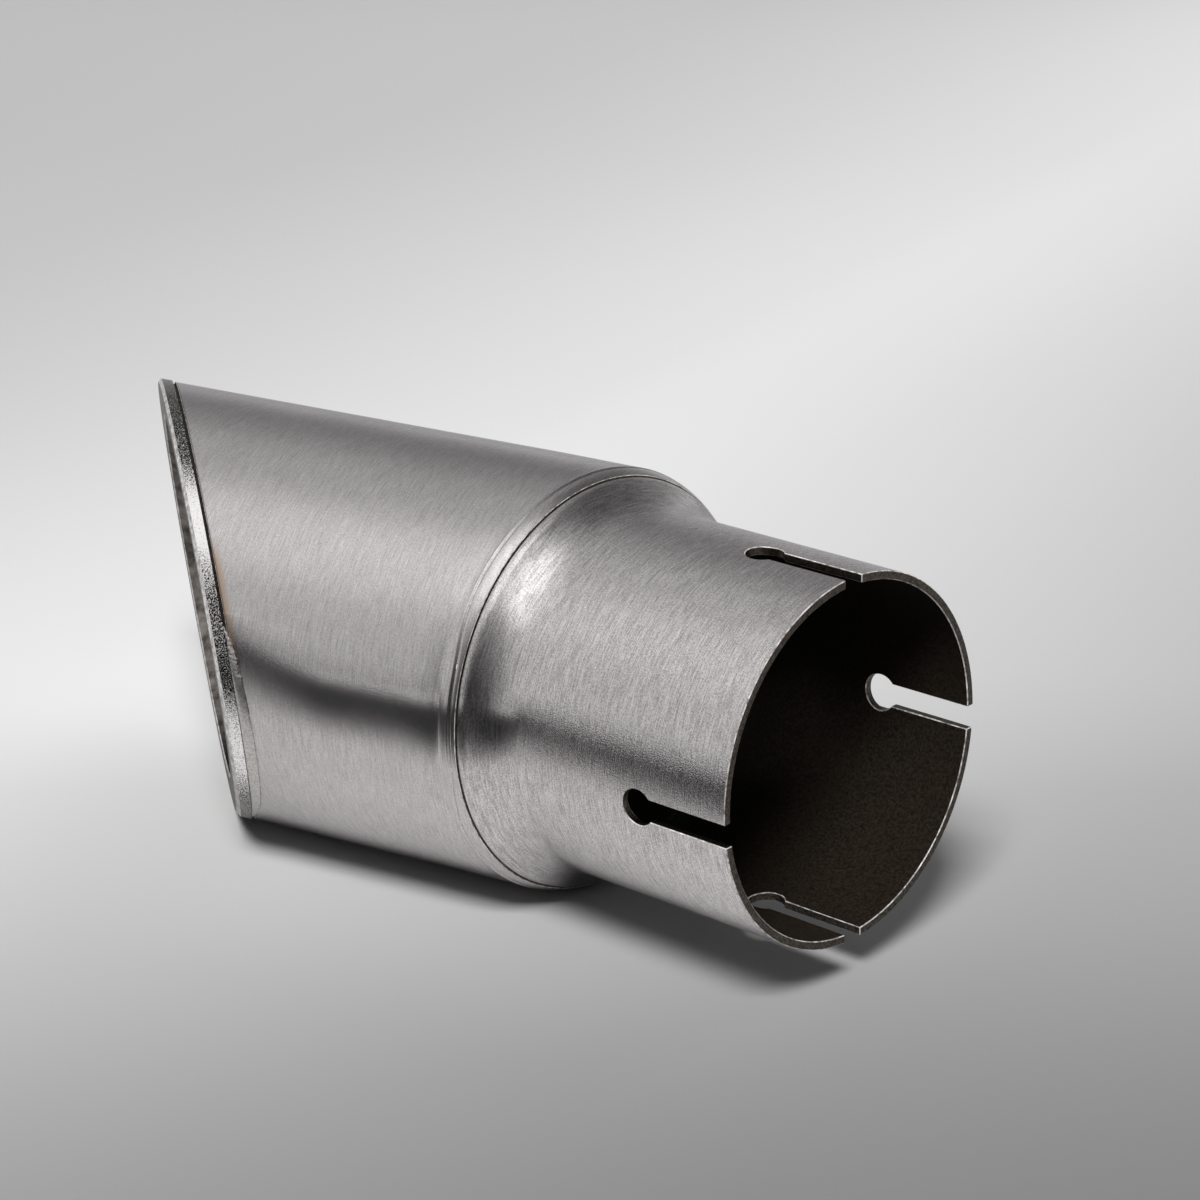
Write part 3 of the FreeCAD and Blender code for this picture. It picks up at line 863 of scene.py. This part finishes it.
# The room's light by its height round the tip (0 the front horizon, 0.5 overhead, 1 the back horizon), for
# light that comes from the left or the right by so much: a long softbox in front and above, and a dim
# ceiling behind it
room = {
    "strength": 2.0,
    "shadowFill": 0.14,     # what reaches the floor and the soot from all round
    "sides": (
        (-0.65, ((0.0, 0.37), (0.05, 0.38), (0.14, 0.37), (0.20, 0.365), (0.25, 0.38), (0.30, 0.42),
                 (0.37, 0.42), (0.43, 0.44), (0.47, 0.42), (0.50, 0.36), (0.54, 0.31), (0.59, 0.31),
                 (0.64, 0.33), (0.69, 0.31), (0.74, 0.24), (0.79, 0.19), (0.85, 0.14), (0.92, 0.17),
                 (1.0, 0.33))),
        (-0.4, ((0.0, 0.24), (0.05, 0.29), (0.11, 0.33), (0.17, 0.36), (0.22, 0.41), (0.28, 0.47),
                (0.34, 0.51), (0.40, 0.49), (0.45, 0.43), (0.50, 0.35), (0.56, 0.28), (0.62, 0.245),
                (0.67, 0.225), (0.72, 0.19), (0.78, 0.15), (0.84, 0.12), (0.92, 0.17), (1.0, 0.33))),
        (0.15, ((0.0, 0.04), (0.05, 0.06), (0.11, 0.12), (0.17, 0.19), (0.21, 0.33), (0.25, 0.68),
                (0.29, 0.86), (0.36, 0.93), (0.42, 0.88), (0.47, 0.61), (0.52, 0.34), (0.57, 0.18),
                (0.62, 0.09), (0.69, 0.05), (0.80, 0.07), (0.90, 0.15), (1.0, 0.33))),
        (0.6, ((0.0, 0.01), (0.06, 0.03), (0.11, 0.07), (0.17, 0.12), (0.22, 0.20), (0.27, 0.42),
               (0.33, 0.56), (0.40, 0.52), (0.45, 0.38), (0.50, 0.20), (0.56, 0.10), (0.64, 0.06),
               (0.80, 0.08), (0.90, 0.15), (1.0, 0.33))),
    ),
}


def lightRoom():
    world = bpy.data.worlds.new("room")
    bpy.context.scene.world = world
    world.use_nodes = True
    tree = world.node_tree
    tree.nodes.clear()
    towards = addNode(tree, "ShaderNodeTexCoord")
    split = addNode(tree, "ShaderNodeSeparateXYZ", links={0: towards.outputs["Generated"]})
    front = addNode(tree, "ShaderNodeMath", product, {1: -1.0}, {0: split.outputs["Y"]})
    height = addNode(tree, "ShaderNodeMath", {"operation": "ARCTAN2"},
                     links={0: split.outputs["Z"], 1: front.outputs[0]})
    share = addNode(tree, "ShaderNodeMapRange", inputs={"From Min": 0.0, "From Max": math.pi},
                    links={"Value": height.outputs[0]})
    lit, before = None, None
    for side, levels in room["sides"]:
        ramp = addNode(tree, "ShaderNodeValToRGB", links={"Fac": share.outputs["Result"]}, stops=levels)
        light = ramp.outputs["Color"]
        if lit:
            rightness = addNode(tree, "ShaderNodeMapRange", smooth, {"From Min": before, "From Max": side},
                                {"Value": split.outputs["X"]})
            between = addNode(tree, "ShaderNodeMix", colours, links={
                0: rightness.outputs["Result"], 6: lit, 7: light})
            light = between.outputs[2]
        lit, before = light, side
    ray = addNode(tree, "ShaderNodeLightPath")
    fill, plain = ((level / room["strength"],) * 3 + (1.0,)
                   for level in (room["shadowFill"], studio["backdrop"]))
    reflected = addNode(tree, "ShaderNodeMix", colours, {6: fill}, {
        0: ray.outputs["Is Glossy Ray"], 7: lit})
    shown = addNode(tree, "ShaderNodeMix", colours, {7: plain}, {
        0: ray.outputs["Is Camera Ray"], 6: reflected.outputs[2]})
    background = addNode(tree, "ShaderNodeBackground", inputs={"Strength": room["strength"]},
                         links={"Color": shown.outputs[2]})
    addNode(tree, "ShaderNodeOutputWorld", links={"Surface": background.outputs["Background"]})


# Two soft lights draw the tip's shadow: the key, and a weak wide one low behind that reaches under the
# sleeve. The steel shows the room's softbox in their place. Distances in m.
key = {
    "place": (0.66, -1.70, 2.33),
    "aim": (-0.08, 0.0, -0.04),
    "size": (0.9, 0.8),
    "power": 143.0,
}
behind = {
    "from": (0.2, 0.86, 0.5),
    "spread": 60.0,         # degrees
    "strength": 0.8,
}


def hangLight(name, kind, place, aimPoint, energy):
    light = bpy.data.lights.new(name, kind)
    light.energy = energy
    lamp = bpy.data.objects.new(name, light)
    lamp.location = place
    lamp.rotation_euler = (Vector(aimPoint) - Vector(place)).to_track_quat("-Z", "Y").to_euler()
    lamp.visible_glossy = False
    bpy.context.scene.collection.objects.link(lamp)
    return light


softbox = hangLight("key", "AREA", key["place"], key["aim"], key["power"])
softbox.shape = "RECTANGLE"
softbox.size, softbox.size_y = key["size"]
glow = hangLight("behind", "SUN", behind["from"], (0.0, 0.0, 0.0), behind["strength"])
glow.angle = math.radians(behind["spread"])
lightRoom()
bpy.context.scene.view_settings.view_transform = "Standard"
print("studio made")
